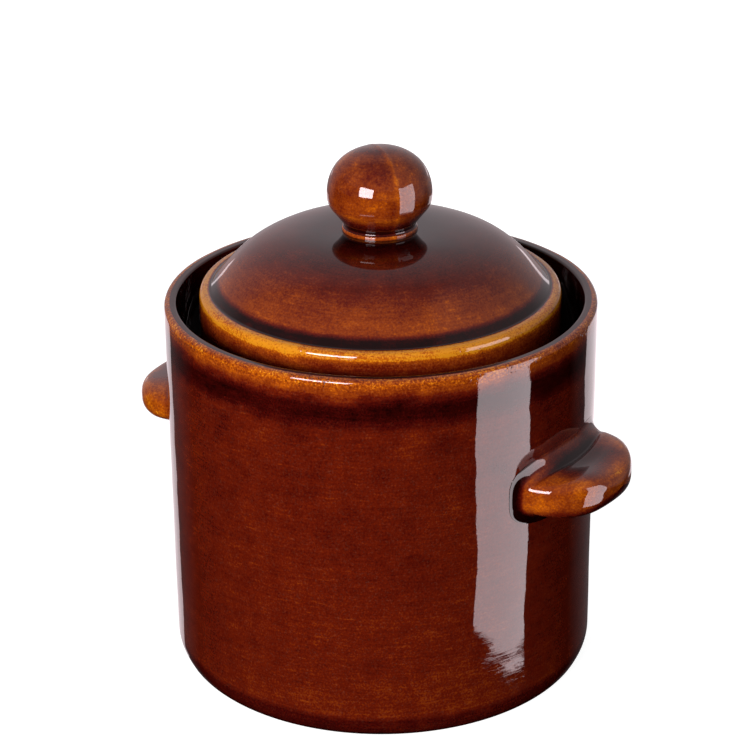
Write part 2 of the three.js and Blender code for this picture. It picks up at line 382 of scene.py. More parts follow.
def glazeMaterial(name, wheelRadius, seed):
    look = glazeLook
    material, tree = freshMaterial(name)
    place = addNode(tree, "ShaderNodeTexCoord").outputs["Object"]

    # wheel coordinates: along the turning, up, and out from the axis
    xyz = addNode(tree, "ShaderNodeSeparateXYZ", {0: place}).outputs
    flat = addNode(tree, "ShaderNodeCombineXYZ", {0: xyz["X"], 1: xyz["Y"]}).outputs[0]
    around = vectorMaths(tree, "NORMALIZE", flat)
    turned = vectorMaths(tree, "SCALE", around, Scale=wheelRadius / look["streakLength"])
    turnedXyz = addNode(tree, "ShaderNodeSeparateXYZ", {0: turned}).outputs
    up = maths(tree, "MULTIPLY", xyz["Z"], perMm(look["streakThickness"]))
    out = maths(tree, "MULTIPLY", vectorMaths(tree, "LENGTH", flat), perMm(look["streakThickness"]))
    wheelPlace = addNode(tree, "ShaderNodeCombineXYZ",
                         {0: turnedXyz["X"], 1: turnedXyz["Y"], 2: up}).outputs[0]
    streaks = noiseField(tree, wheelPlace, 1.0, look["streakDetail"], W=out,
                         Roughness=look["noiseRoughness"])
    shorter = look["streakLength"] / look["fleckLength"]
    thinner = look["streakThickness"] / look["fleckThickness"]
    dashPlace = vectorMaths(tree, "MULTIPLY", wheelPlace, (shorter, shorter, thinner))
    dashes = noiseField(tree, dashPlace, look["fleckScale"], look["fleckDetail"], W=out)
    flecks = remap(tree, dashes, look["fleckCut"])

    # thickness of the coat: as painted on the mesh, uneven from clouds down to grain
    patches = {"streak": streaks}
    for key, detail in look["details"].items():
        patches[key] = noiseField(tree, place, perMm(look[key + "Size"]), detail, W=seed,
                                  Roughness=look["noiseRoughness"])
    painted = {key: addNode(tree, "ShaderNodeAttribute", attribute_name=key).outputs["Fac"]
               for key in ("glaze", "bare", "waver", "pitted", "seam")}
    shares = {key: look[key + "Share"] for key in ("streak", "mottle", "cloud", "grain")}
    coat = maths(tree, "MULTIPLY_ADD", painted["seam"], -look["seamShare"], painted["glaze"])
    coat = maths(tree, "SUBTRACT", coat, sum(shares.values()) / 2)
    for key, share in shares.items():
        coat = maths(tree, "MULTIPLY_ADD", patches[key], share, coat)
    crowdedFlecks = remap(tree, patches["cloud"], look["fleckCrowd"])
    flecks = maths(tree, "MULTIPLY", flecks, crowdedFlecks)
    coat = maths(tree, "MULTIPLY_ADD", flecks, -look["fleckShare"], coat)
    border = maths(tree, "SUBTRACT", patches["border"], 0.5)
    border = maths(tree, "MULTIPLY", border, look["borderShare"])
    coat = maths(tree, "MULTIPLY_ADD", border, painted["waver"], coat)
    worn = remap(tree, patches["crystal"], look["wornCut"], (look["wornShare"], -look["wornShare"]))
    coat = maths(tree, "MULTIPLY_ADD", worn, painted["pitted"], coat)
    ramp = addNode(tree, "ShaderNodeValToRGB", {0: coat})
    setStops(ramp, [(thickness, linearColour(tint)) for thickness, tint in look["coats"]])

    # pinholes where gas broke through a thin coat
    pits = addNode(tree, "ShaderNodeTexVoronoi", {"Vector": place, "Scale": perMm(look["pitSpacing"])})
    pit = remap(tree, pits.outputs["Distance"], look["pitEdge"], (1.0, 0.0))
    crowd = noiseField(tree, place, perMm(look["pitCrowding"]), look["pitDetail"], W=seed)
    pit = maths(tree, "MULTIPLY", pit, remap(tree, crowd, look["pitCrowd"]))
    pit = maths(tree, "MULTIPLY", pit, painted["pitted"])
    dark = mixColours(tree, pit, ramp.outputs[0], linearColour(look["pitColour"]))

    # bare clay where the foot was wiped, with a wavering glaze line, and pale specks in the glaze
    wiped = maths(tree, "ADD", patches["mottle"], painted["bare"])
    wiped = remap(tree, wiped, look["wipeLine"])
    specks = remap(tree, patches["crystal"], look["crystalCut"], (0, look["crystalShare"]))
    specks = maths(tree, "MULTIPLY", specks, remap(tree, coat, look["crystalFade"]))
    pale = maths(tree, "MAXIMUM", specks, wiped)
    tint = mixColours(tree, pale, dark, linearColour(look["clay"]))
    gloss = remap(tree, patches["mottle"], look["glossCut"], (look["smoothest"], look["roughest"]))
    roughness = addNode(tree, "ShaderNodeMix", {0: wiped, 2: gloss, 3: look["clayRoughness"]})

    height = maths(tree, "MULTIPLY", patches["peel"], look["peelHeight"])
    height = maths(tree, "MULTIPLY_ADD", streaks, look["streakHeight"], height)
    height = maths(tree, "MULTIPLY_ADD", pit, -look["pitHeight"], height)
    bump = addNode(tree, "ShaderNodeBump", {"Height": height, "Distance": mm, "Strength": 1.0})
    skin = addNode(tree, "ShaderNodeBsdfPrincipled",
                   {"Base Color": tint, "Roughness": roughness.outputs[0], "IOR": look["ior"],
                    "Normal": bump.outputs[0]})
    addNode(tree, "ShaderNodeOutputMaterial", {"Surface": skin.outputs[0]})
    return material


# bare stoneware: fired clay without glaze, a matt sandy buff with iron specks

stoneLook = {
    "buff": "#c4aa88",
    "warm": "#a98a67",
    "speck": "#5d4632",
    "cloudSize": 24.0,
    "cloudDetail": 4.0,
    "sandSize": 0.9,
    "sandDetail": 3.0,
    "sandHeight": 0.06,
    "speckSpacing": 3.4,
    "speckEdge": (0.08, 0.14),
    "speckShare": 0.8,
    "roughest": 0.92,
    "smoothest": 0.78,
}


def bareStoneware():
    look = stoneLook
    material, tree = freshMaterial("bareStoneware")
    place = addNode(tree, "ShaderNodeTexCoord").outputs["Object"]
    clouds = noiseField(tree, place, perMm(look["cloudSize"]), look["cloudDetail"])
    sand = noiseField(tree, place, perMm(look["sandSize"]), look["sandDetail"])
    specks = addNode(tree, "ShaderNodeTexVoronoi", {"Vector": place, "Scale": perMm(look["speckSpacing"])})
    speck = remap(tree, specks.outputs["Distance"], look["speckEdge"], (look["speckShare"], 0.0))
    body = mixColours(tree, clouds, linearColour(look["buff"]), linearColour(look["warm"]))
    tint = mixColours(tree, speck, body, linearColour(look["speck"]))
    rough = remap(tree, sand, (0.0, 1.0), (look["smoothest"], look["roughest"]))
    height = maths(tree, "MULTIPLY", sand, look["sandHeight"])
    bump = addNode(tree, "ShaderNodeBump", {"Height": height, "Distance": mm, "Strength": 1.0})
    skin = addNode(tree, "ShaderNodeBsdfPrincipled",
                   {"Base Color": tint, "Roughness": rough, "Normal": bump.outputs[0]})
    addNode(tree, "ShaderNodeOutputMaterial", {"Surface": skin.outputs[0]})
    return material


glazeBatches = {
    "brownStonewareGlaze": {"wheelRadius": 85.0, "seed": 1.7},
    "honeyBrownStonewareGlaze": {"wheelRadius": 66.0, "seed": 6.2},
}
barrelGlaze, lidGlaze = [glazeMaterial(name, **batch) for name, batch in glazeBatches.items()]
stoneClay = bareStoneware()
print("materials mixed: two glazes and bare clay")


# the potter's wheel: a half outline is spun, wavers a little as hand-thrown clay does, and is glazed

def wheelTree():
    tree = bpy.data.node_groups.new("pottersWheel", "GeometryNodeTree")
    sockets = [("Outline", "NodeSocketGeometry"), ("Segments", "NodeSocketInt"),
               ("Seam Across", "NodeSocketVector"), ("Glaze", "NodeSocketMaterial")]
    numbers = ("Wheel Radius", "Weld", "Seat", "Seat Fade", "Wander", "Wander Size", "Ripple",
               "Ripple Size", "Seam Width", "Seam Height", "Notch Width", "Notch Height",
               "Notch Reach", "Seed")
    sockets += [(name, "NodeSocketFloat") for name in numbers]
    for name, kind in sockets:
        tree.interface.new_socket(name, in_out="INPUT", socket_type=kind)
    tree.interface.new_socket("Piece", in_out="OUTPUT", socket_type="NodeSocketGeometry")
    given = addNode(tree, "NodeGroupInput").outputs

    outline = addNode(tree, "GeometryNodeMeshToCurve", {"Mesh": given["Outline"]})
    wheel = addNode(tree, "GeometryNodeCurvePrimitiveCircle",
                    {"Resolution": given["Segments"], "Radius": given["Wheel Radius"]}, mode="RADIUS")
    spun = addNode(tree, "GeometryNodeCurveToMesh",
                   {"Curve": wheel.outputs["Curve"], "Profile Curve": outline.outputs["Curve"]})
    welded = addNode(tree, "GeometryNodeMergeByDistance",
                     {"Geometry": spun.outputs[0], "Distance": given["Weld"]})
    facing = addNode(tree, "GeometryNodeFlipFaces", {"Mesh": welded.outputs[0]})

    # wander and ripple of the clay, fading out towards its seat
    place = addNode(tree, "GeometryNodeInputPosition").outputs[0]
    normal = addNode(tree, "GeometryNodeInputNormal").outputs[0]
    xyz = addNode(tree, "ShaderNodeSeparateXYZ", {0: place}).outputs
    fadeTop = maths(tree, "ADD", given["Seat"], given["Seat Fade"])
    loose = remap(tree, xyz["Z"], (given["Seat"], fadeTop), interpolation_type="SMOOTHSTEP")
    waves = []
    for name in ("Wander", "Ripple"):
        scale = maths(tree, "DIVIDE", 1.0, given[name + " Size"])
        wave = noiseField(tree, place, scale, 1.0, W=given["Seed"])
        wave = maths(tree, "SUBTRACT", wave, 0.5)
        waves.append(maths(tree, "MULTIPLY", wave, given[name]))
    lift = maths(tree, "ADD", *waves)

    # a mould seam on one upright plane
    fromSeam = vectorMaths(tree, "DOT_PRODUCT", place, given["Seam Across"])
    fromSeam = maths(tree, "ABSOLUTE", fromSeam)
    seam = remap(tree, fromSeam, (0.0, given["Seam Width"]), (1.0, 0.0), interpolation_type="SMOOTHSTEP")
    hasSeam = maths(tree, "GREATER_THAN", given["Seam Height"], 0.0)
    seamMark = maths(tree, "MULTIPLY", seam, hasSeam)
    lift = maths(tree, "MULTIPLY_ADD", seam, given["Seam Height"], lift)
    lift = maths(tree, "MULTIPLY", lift, loose)
    wavered = vectorMaths(tree, "SCALE", normal, Scale=lift)

    # gas notches: round bites out of the lower edge, where it crosses the Y axis
    half = maths(tree, "DIVIDE", given["Notch Width"], 2.0)
    aside = maths(tree, "DIVIDE", xyz["X"], half)
    aside = maths(tree, "MULTIPLY", aside, aside)
    bite = maths(tree, "SUBTRACT", 1.0, aside, use_clamp=True)
    bite = maths(tree, "SQRT", bite)
    bite = maths(tree, "MULTIPLY", bite, given["Notch Height"])
    biteTop = maths(tree, "ADD", given["Seat"], given["Notch Reach"])
    low = remap(tree, xyz["Z"], (given["Seat"], biteTop), (1.0, 0.0))
    bite = maths(tree, "MULTIPLY", bite, low)
    raised = addNode(tree, "ShaderNodeCombineXYZ", {2: bite}).outputs[0]
    offset = vectorMaths(tree, "ADD", wavered, raised)

    marked = addNode(tree, "GeometryNodeStoreNamedAttribute",
                     {"Geometry": facing.outputs[0], "Name": "seam", "Value": seamMark},
                     data_type="FLOAT", domain="POINT")
    moved = addNode(tree, "GeometryNodeSetPosition", {"Geometry": marked.outputs[0], "Offset": offset})
    smooth = addNode(tree, "GeometryNodeSetShadeSmooth", {"Geometry": moved.outputs[0]})
    real = addNode(tree, "GeometryNodeRealizeInstances", {"Geometry": smooth.outputs[0]})
    glazed = addNode(tree, "GeometryNodeSetMaterial",
                     {"Geometry": real.outputs[0], "Material": given["Glaze"]})
    addNode(tree, "NodeGroupOutput", {"Piece": glazed.outputs[0]})
    return tree


pottersWheel = wheelTree()
wheelPlan = {
    "Wheel Radius": 10 * mm,
    "Weld": 0.004 * mm,
    "Seat Fade": 30 * mm,
    "Wander": 0.8 * mm,
    "Wander Size": 60 * mm,
    "Ripple": 0.16 * mm,
    "Ripple Size": 18 * mm,
    "Seam Across": (1, 0, 0),
    "Seam Width": 1 * mm,
    "Seam Height": 0.0,
    "Notch Width": 1 * mm,
    "Notch Height": 0.0,
    "Notch Reach": 1 * mm,
}
sharpAngle = 38.0    # degrees between faces, above which an edge stays sharp


# corners are (radius, height, rounding, glaze, bare, waver, pitted): mm, glaze from 0 thin to 1 pooled,
# then how bare the clay is, how far the glaze's border wanders, and how pitted it is
def softOutline(corners, closed=False, roundSteps=10, longestStep=2.2):
    path = []
    full = [(*corner, 0, 0)[:7] for corner in corners]
    for i, (radius, height, rounding, *coat) in enumerate(full):
        here = Vector((radius, height))
        if not rounding or not (closed or 0 < i < len(full) - 1):
            path.append((radius, height, *coat))
            continue
        before = Vector(full[i - 1][:2]) - here
        after = Vector(full[(i + 1) % len(full)][:2]) - here
        start = here + before.normalized() * rounding
        end = here + after.normalized() * rounding
        for k in range(roundSteps + 1):
            t = k / roundSteps
            spot = start * (1 - t) ** 2 + here * 2 * t * (1 - t) + end * t ** 2
            path.append((spot.x, spot.y, *coat))
    if closed:
        path.append(path[0])
    fine = []
    for a, b in zip(path, path[1:]):
        steps = max(1, math.ceil(math.dist(a[:2], b[:2]) / longestStep))
        fine += [[p + (q - p) * k / steps for p, q in zip(a, b)] for k in range(steps)]
    return fine if closed else fine + [list(path[-1])]


def plainMesh(holder, name):    # the evaluated shape as a mesh of its own, closed and facing out
    graph = bpy.context.evaluated_depsgraph_get()
    mesh = bpy.data.meshes.new_from_object(holder.evaluated_get(graph), preserve_all_data_layers=True,
                                           depsgraph=graph)
    holder.modifiers.clear()
    bpy.data.objects.remove(holder)
    mesh.name = name
    shape = bmesh.new()
    shape.from_mesh(mesh)
    bmesh.ops.recalc_face_normals(shape, faces=shape.faces)
    for edge in shape.edges:
        edge.smooth = edge.calc_face_angle(0) < math.radians(sharpAngle)
    for face in shape.faces:
        face.smooth = True
    openEdges = sum(1 for edge in shape.edges if not edge.is_manifold)
    volume = shape.calc_volume(signed=True)
    shape.to_mesh(mesh)
    shape.free()
    triangles = sum(len(polygon.vertices) - 2 for polygon in mesh.polygons)
    print(name, "triangles", triangles, "open edges", openEdges, "cm3", round(volume * 1e6, 1))
    return addObject(name, mesh)


def throwPiece(name, outline, closed, material, **changes):
    values = {**wheelPlan, **changes, "Glaze": material}
    mesh = bpy.data.meshes.new(name + "Outline")
    count = len(outline)
    edges = [(i, (i + 1) % count) for i in range(count if closed else count - 1)]
    rim = values["Wheel Radius"]
    mesh.from_pydata([(spot[0] * mm - rim, -spot[1] * mm, 0) for spot in outline], edges, [])
    for k, attribute in enumerate(("glaze", "bare", "waver", "pitted"), 2):
        layer = mesh.attributes.new(attribute, "FLOAT", "POINT")
        layer.data.foreach_set("value", [spot[k] for spot in outline])
    holder = addObject(name + "Outline", mesh)
    turning = holder.modifiers.new("turning", "NODES")
    turning.node_group = pottersWheel
    for item in pottersWheel.interface.items_tree:
        if item.in_out == "INPUT" and item.name in values:
            turning[item.identifier] = values[item.name]
    return plainMesh(holder, name)


def settle(piece, node, body):
    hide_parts(node)
    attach(piece, body)


# barrel: foot ring wiped bare, straight wall, amber rim over a band where the glaze pooled

barrelShape = {
    "wall": 8.0,
    "rimWall": 5.2,
    "base": 10.0,
    "footRound": 5.0,
    "footRing": 14.0,
    "footRecess": 1.6,
    "footInnerEdge": 0.6,
    "footOuterEdge": 0.5,
    "heelInset": 0.42,         # shares of the foot's rounding
    "heelLift": 0.12,
    "heelRound": 1.2,
    "wallRound": 2.4,
    "rimOuterRound": 2.2,
    "rimInnerRound": 1.2,
    "rimFlat": 0.4,
    "insideCove": 9.0,
    "troughDepth": 43.3,
    "wallCoat": ((10, 0.52), (32, 0.55), (84, 0.58)),              # height, glaze
    "rimBands": ((-21, 0.61, 0.4, 0), (-15, 0.90, 0.3, 0),         # height from the rim, glaze,
                 (-11, 0.90, 0.4, 0), (-8, 0.64, 1.0, 0),          # waver, pitted
                 (-5, 0.33, 0.6, 0.2), (-3, 0.27, 0.4, 0.7)),
    # down into the trough: pooled glaze at its floor, and painted shade on its walls
    "troughPoolAndShade": ((-3, 0.85), (-9, 1.0)),
    "ripple": 0.17,
    "rippleSize": 12.0,
    "segments": 320,
    "seed": 2.3,
}


def makeBarrel(shape):
    low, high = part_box("barrel")
    radius, rim = high.x / mm, high.z / mm
    footRound = shape["footRound"]
    footOut = radius - footRound
    footIn = footOut - shape["footRing"]
    trough = radius - shape["rimWall"]
    inside = radius - shape["wall"]
    ledge = rim - shape["troughDepth"]
    corners = [
        (0, shape["footRecess"], 0, 0.4, 1),
        (footIn - shape["footRecess"], shape["footRecess"], shape["footInnerEdge"], 0.4, 1),
        (footIn, 0, shape["footInnerEdge"], 0.4, 1),
        (footOut, 0, shape["footOuterEdge"], 0.4, 1),
        (radius - shape["heelInset"] * footRound, shape["heelLift"] * footRound, shape["heelRound"],
         0.9, 0.2),
        (radius, footRound, shape["wallRound"], 0.74, 0),
        *[(radius, height, 0, coat, 0) for height, coat in shape["wallCoat"]],
        *[(radius, rim + rise, 0, coat, 0, waver, pitted)
          for rise, coat, waver, pitted in shape["rimBands"]],
        (radius, rim, shape["rimOuterRound"], 0.22, 0, 0.3, 1),
        # painted shade: the rim's flat top and the trough's edge are darkened
        (radius - shape["rimOuterRound"] - shape["rimFlat"], rim, 0, 0.86, 0, 0.3),
        (trough, rim, shape["rimInnerRound"], 0.90, 0, 0.3),
        *[(trough, rim + rise, 0, coat, 0) for rise, coat in shape["troughPoolAndShade"]],
        (trough, ledge, 0, 1.0, 0),
        (inside, ledge, 0, 0.6, 0),
        (inside, shape["base"], shape["insideCove"], 0.56, 0),
        (0, shape["base"], 0, 0.62, 0),
    ]
    return throwPiece("thrownBarrel", softOutline(corners), False, barrelGlaze, **{
        "Segments": shape["segments"], "Seat": low.z, "Seed": shape["seed"],
        "Ripple": shape["ripple"] * mm, "Ripple Size": shape["rippleSize"] * mm})


barrel = makeBarrel(barrelShape)
settle(barrel, "barrel", "crock")


# water seal collar: the trough's floor and the neck round the mouth

collarShape = {
    "floor": 7.0,
    "neckWall": 5.0,
    "neckGap": 18.0,           # from the barrel's rim wall to the neck
    "lutingGap": 0.3,
    "cove": 4.0,
    "lip": 0.8,
    "neckRound": 0.48,         # share of the neck's wall
    "neckCoatRise": 8.0,
    "mouthRound": 2.5,
    "intoWall": 1.0,           # luted into the barrel
    "segments": 256,
    "seed": 4.1,
}


def makeCollar(shape):
    low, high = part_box("water_seal_collar")
    flange, under, top = high.x / mm, low.z / mm, high.z / mm
    floor = under + shape["floor"]
    neckOut = flange - shape["neckGap"] + shape["lutingGap"]
    neckRound = shape["neckWall"] * shape["neckRound"]
    mouth = neckOut - shape["neckWall"]
    seat = flange + shape["intoWall"]
    corners = [
        (mouth, under, shape["mouthRound"], 0.5, 0),
        (seat, under, 0, 0.6, 0),
        (seat, floor + shape["cove"], 0, 0.9, 0),
        (flange - shape["lip"], floor + shape["cove"], 0, 0.9, 0),
        (flange - shape["lip"], floor, shape["cove"], 1.0, 0),
        (neckOut, floor, shape["cove"], 0.9, 0),
        (neckOut, top, neckRound, 0.22, 0),
        (mouth, top, neckRound, 0.22, 0),
        (mouth, floor + shape["neckCoatRise"], 0, 0.5, 0),
    ]
    return throwPiece("waterSealCollar", softOutline(corners, True), True, barrelGlaze, **{
        "Segments": shape["segments"], "Seat": low.z, "Seed": shape["seed"]})


collar = makeCollar(collarShape)
settle(collar, "water_seal_collar", "crock")


# lug handles: dished, round-nosed lugs pressed on by hand, with the slip smoothed into the wall

lugShape = {
    "reach": 23.0,
    "turn": 2.5,               # degrees forward of the middle
    "width": 58.5,
    "thickness": 19.8,
    "nose": {1: 11.9, -1: 14.5},    # the left lug was pressed a little rounder
    "fillet": 4.5,
    "dish": 3.0,
    "planPower": 2.87,
    "sectionPower": {1: 3.3, -1: 2.6},
    "intoWall": 1.2,
    "filletRows": 16,
    "noseRows": 56,
    "columns": 152,
    "wander": 0.5,
    "wanderSize": 16.0,
    "filletCoat": ((0.0, 0.50), (0.3, 0.40), (0.55, 0.62), (0.8, 0.95), (1.0, 0.82)),
    "valleyCoat": 0.74,
    "edgeCoat": 0.26,
    "edgeOut": (0.40, 0.80),   # shares of the nose over which the coat thins
    "edgeEnds": (0.32, 0.74),  # and of the half width, from this much of the fillet on
    "edgeFillet": (0.12, 0.50),
    # painted shade: the coat darkens on the lug's underside
    "underShade": 0.5,
    "underShadeFrom": (0.35, 0.85),
    "endShade": 0.9,            # painted shade darkening the fillet's crease at each end
    "endShadeFrom": 0.6,
    "endShadeFade": 2.2,
    "creaseOut": 4.0,          # a pooled crease where the top meets the wall
    "creaseWidth": 1.1,
    "creaseDepth": 0.9,
    "creaseCoat": 0.35,
    "creaseEnds": 8,
    "waver": 0.8,
}


def lugRings(shape, side, bodyRadius, middle):
    reach, fillet = shape["reach"], shape["fillet"]
    nose, power = shape["nose"][side], shape["sectionPower"][side]
    forward = Matrix.Rotation(-side * math.radians(shape["turn"]), 3, "Z")
    stops = [(-shape["intoWall"], 0, shape["filletCoat"][0][1])]
    for k in range(shape["filletRows"]):
        share = k / shape["filletRows"]
        out = fillet * (1 - math.cos(math.pi / 2 * share))
        stops.append((out, 0, ladder(share, shape["filletCoat"])))
    for k in range(shape["noseRows"] + 1):
        share = math.sin(math.pi / 2 * k / shape["noseRows"])
        stops.append((min(fillet + (reach - fillet) * share, reach), share, shape["valleyCoat"]))
    rings, coats = [], []
    for distance, share, coat in stops:
        out = max(distance, 0)
        flare = fillet - math.sqrt(fillet ** 2 - max(fillet - out, 0) ** 2)
        intoNose = max((out - reach + nose) / nose, 0)
        halfHeight = shape["thickness"] / 2 * math.sqrt(1 - intoNose ** 2) + flare
        halfWidth = shape["width"] / 2 * math.sqrt(1 - (out / reach) ** shape["planPower"]) + flare
        dish = shape["dish"] * 4 * (out / reach) * (1 - out / reach)
        pinch = math.exp(-((out - shape["creaseOut"]) / shape["creaseWidth"]) ** 2)
        ring = []
        for i in range(shape["columns"]):
            angle = 2 * math.pi * i / shape["columns"]
            across = math.copysign(abs(math.cos(angle)) ** (2 / power), math.cos(angle))
            rise = math.copysign(abs(math.sin(angle)) ** (2 / power), math.sin(angle))
            sideways = halfWidth * across
            pooled = pinch * max(rise, 0) * (1 - across ** shape["creaseEnds"])
            sag = dish * (1 - across ** 2) + shape["creaseDepth"] * pooled if rise > 0 else 0
            outward = math.sqrt((bodyRadius + distance) ** 2 - sideways ** 2)
            spot = Vector((outward * side, sideways * side, middle + halfHeight * rise - sag))
            ring.append(forward @ spot * mm)
            # painted shade: the coat darkens in the fillet's crease at each end of the lug
            crease = max(abs(across) - shape["endShadeFrom"], 0) / (1 - shape["endShadeFrom"])
            crease *= max(1 - shape["endShadeFade"] * out / fillet, 0)
            onEnd = slope(abs(across), shape["edgeEnds"]) * slope(out / fillet, shape["edgeFillet"])
            onEdge = max(slope(share, shape["edgeOut"]), onEnd)
            # painted shade on the lug's underside
            under = slope(-rise, shape["underShadeFrom"])
            coats.append(coat + (shape["edgeCoat"] - coat) * onEdge + shape["underShade"] * under
                         + shape["endShade"] * crease + shape["creaseCoat"] * pooled)
        rings.append(ring)
    return rings, coats


def makeLug(name, node, shape, side):
    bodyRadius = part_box("barrel")[1].x / mm
    low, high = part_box(node)
    rings, coats = lugRings(shape, side, bodyRadius, (low.z + high.z) / 2 / mm)
    shapeMesh = bmesh.new()
    coatLayer = shapeMesh.verts.layers.float.new("glaze")
    waverLayer = shapeMesh.verts.layers.float.new("waver")
    rows = [[shapeMesh.verts.new(spot) for spot in ring] for ring in rings]
    for vertex, coat in zip((v for row in rows for v in row), coats):
        vertex[coatLayer] = coat
        vertex[waverLayer] = shape["waver"]
    for row, nextRow in zip(rows, rows[1:]):
        for i in range(len(row)):
            j = (i + 1) % len(row)
            shapeMesh.faces.new((row[i], row[j], nextRow[j], nextRow[i]))
    shapeMesh.faces.new(rows[0])
    bmesh.ops.remove_doubles(shapeMesh, verts=shapeMesh.verts, dist=wheelPlan["Weld"])
    bmesh.ops.recalc_face_normals(shapeMesh, faces=shapeMesh.faces)
    shapeMesh.normal_update()
    for vertex in shapeMesh.verts:
        away = vertex.co.xy.length / mm - bodyRadius
        loose = min(max(away / shape["fillet"], 0), 1)
        wave = noise.noise(vertex.co / (shape["wanderSize"] * mm) + Vector((0, 0, side)))
        vertex.co += vertex.normal * wave * loose * shape["wander"] * mm
    mesh = bpy.data.meshes.new(name)
    shapeMesh.to_mesh(mesh)
    shapeMesh.free()
    mesh.materials.append(barrelGlaze)
    lug = plainMesh(addObject(name + "Raw", mesh), name)
    settle(lug, node, "crock")
    return lug


makeLug("rightLugHandle", "right_lug_handle", lugShape, 1)
makeLug("leftLugHandle", "left_lug_handle", lugShape, -1)


# lid: skirt with gas notches, amber shoulder, dark cove and mottled dome

lidShape = {
    "skirt": 5.0,
    "skirtEdge": 1.2,
    "shoulderRound": 3.0,
    "ledge": 6.3,
    "cove": 2.0,
    "coveRound": 0.6,
    "domeRise": 22.9,
    "edgeSlope": 1.11,
    "steepness": 0.47,
    "fullness": 0.664,
    "shell": 5.6,
    "underRound": 0.45,        # share of the shell
    "knobFoot": 14.8,
    "notchWidth": 9.0,
    "notchHeight": 4.5,
    "notchReach": 12.0,
    "domeSteps": 40,
    "domeWaver": 0.3,
    "segments": 384,
    "seed": 8.4,
    "insideCoat": 0.5,
    "wetRise": 16.0,           # the skirt's foot, which stands in the sealing water
    "skirtBands": ((-14, 0.52, 0, 0), (-8, 0.50, 0.5, 0),          # height from the ledge, glaze,
                   (-4.8, 0.38, 0.6, 0.5), (-3.2, 0.18, 0.6, 0.5)),      # waver, pitted
    "ledgeBands": ((0.9, 0.40), (0.4, 0.95)),                      # distance from the cove, glaze
    # glaze by distance from the axis: from the knob's foot out to about 34 mm the coat is darkened as a
    # painted shadow of the knob, over a little pooling at its foot; further out comes the mottled dome and
    # the pooled cove
    "domeCoatAndKnobShade": ((14.8, 0.95), (24, 0.88), (34, 0.72), (42, 0.64), (50, 0.53), (56, 0.41), (60, 0.34),
                 (62.8, 0.31), (63.6, 0.60), (64.2, 0.95), (64.5, 1.0)),
}


def domeStretch(shape, radius, foot, top, coat):
    edgeUp = shape["steepness"] * (shape["domeRise"] - shape["cove"])
    pulls = [Vector((radius, foot)), Vector((radius - edgeUp / shape["edgeSlope"], foot + edgeUp)),
             Vector((shape["knobFoot"] + shape["fullness"] * (radius - shape["knobFoot"]), top)),
             Vector((shape["knobFoot"], top))]
    corners = []
    for k in range(shape["domeSteps"] + 1):
        spot = cubicSpot(pulls, k / shape["domeSteps"])
        corners.append((spot.x, spot.y, 0, ladder(spot.x, coat), 0, shape["domeWaver"]))
    return corners


def makeLid(shape):
    low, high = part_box("lid")
    radius, bottom, land = high.x / mm, low.z / mm, high.z / mm
    ledgeTop = land - shape["domeRise"]
    under = ledgeTop - shape["shell"]
    dome = radius - shape["ledge"]
    cove = dome + shape["cove"] / shape["edgeSlope"]
    inner = dome - shape["shell"]
    skirtIn = radius - shape["skirt"]
    insideCoat = shape["insideCoat"]
    plainCoat = ((0, insideCoat), (radius, insideCoat))
    inside = domeStretch(shape, inner, ledgeTop, land - shape["shell"], plainCoat)[::-1]
    outside = domeStretch(shape, dome, ledgeTop + shape["cove"], land, shape["domeCoatAndKnobShade"])
    corners = [
        (0, land - shape["shell"], 0, insideCoat, 0),
        *inside,
        (inner, under, shape["shell"] * shape["underRound"], insideCoat, 0),
        (skirtIn, under, shape["cove"], insideCoat, 0),
        (skirtIn, bottom, shape["skirtEdge"], 0.3, 0),
        (radius, bottom, shape["skirtEdge"], 0.3, 0),
        (radius, bottom + shape["wetRise"], 0, 0.55, 0),
        *[(radius, ledgeTop + rise, 0, coat, 0, waver, pitted)
          for rise, coat, waver, pitted in shape["skirtBands"]],
        (radius, ledgeTop, shape["shoulderRound"], 0.045, 0, 0.35, 0.5),
        *[(cove + out, ledgeTop, 0, coat, 0) for out, coat in shape["ledgeBands"]],
        (cove, ledgeTop, shape["coveRound"], 1.0, 0),
        *outside,
        (0, land, 0, 0.9, 0),
    ]
    return throwPiece("domedLid", softOutline(corners), False, lidGlaze, **{
        "Segments": shape["segments"], "Seat": low.z, "Seed": shape["seed"],
        "Notch Width": shape["notchWidth"] * mm, "Notch Height": shape["notchHeight"] * mm,
        "Notch Reach": shape["notchReach"] * mm})


lid = makeLid(lidShape)
settle(lid, "lid", "lid_with_knob")


# ball knob: low foot, dark neck, flared underside, flattened ball, and the seam of its two-part mould

knobShape = {
    "foot": 14.8,
    "neck": 14.0,
    "footHeight": 1.2,
    "footTop": 0.75,           # shares of the foot's height
    "neckFoot": 1.2,
    "neckHeight": 1.2,
    "neckRound": 0.6,
    "neckFlare": (2.0, 2.6),   # out and up
    "flareHeight": 9.4,
    "flareInset": 1.0,
    "flareRound": 0.9,
    "bandInset": 0.1,          # share of the flare's inset
    "bandRound": 1.2,
    "capRise": 18.5,
    "fullness": 0.62,
    "capSteps": 44,
    "capCoat": ((0, 0.36), (0.4, 0.35), (1, 0.46)),
    "capWaver": 1.0,
    "intoDome": 0.7,           # luted to the lid
    "seamTurn": 21.0,          # degrees to the right of the camera
    "seamWidth": 1.8,
    "seamHeight": 0.14,
    "seatFade": 8.0,
    "wander": 0.4,
    "wanderSize": 22.0,
    "ripple": 0.08,
    "rippleSize": 9.0,
    "longestStep": 1.0,
    "segments": 288,
    "seed": 5.5,
}


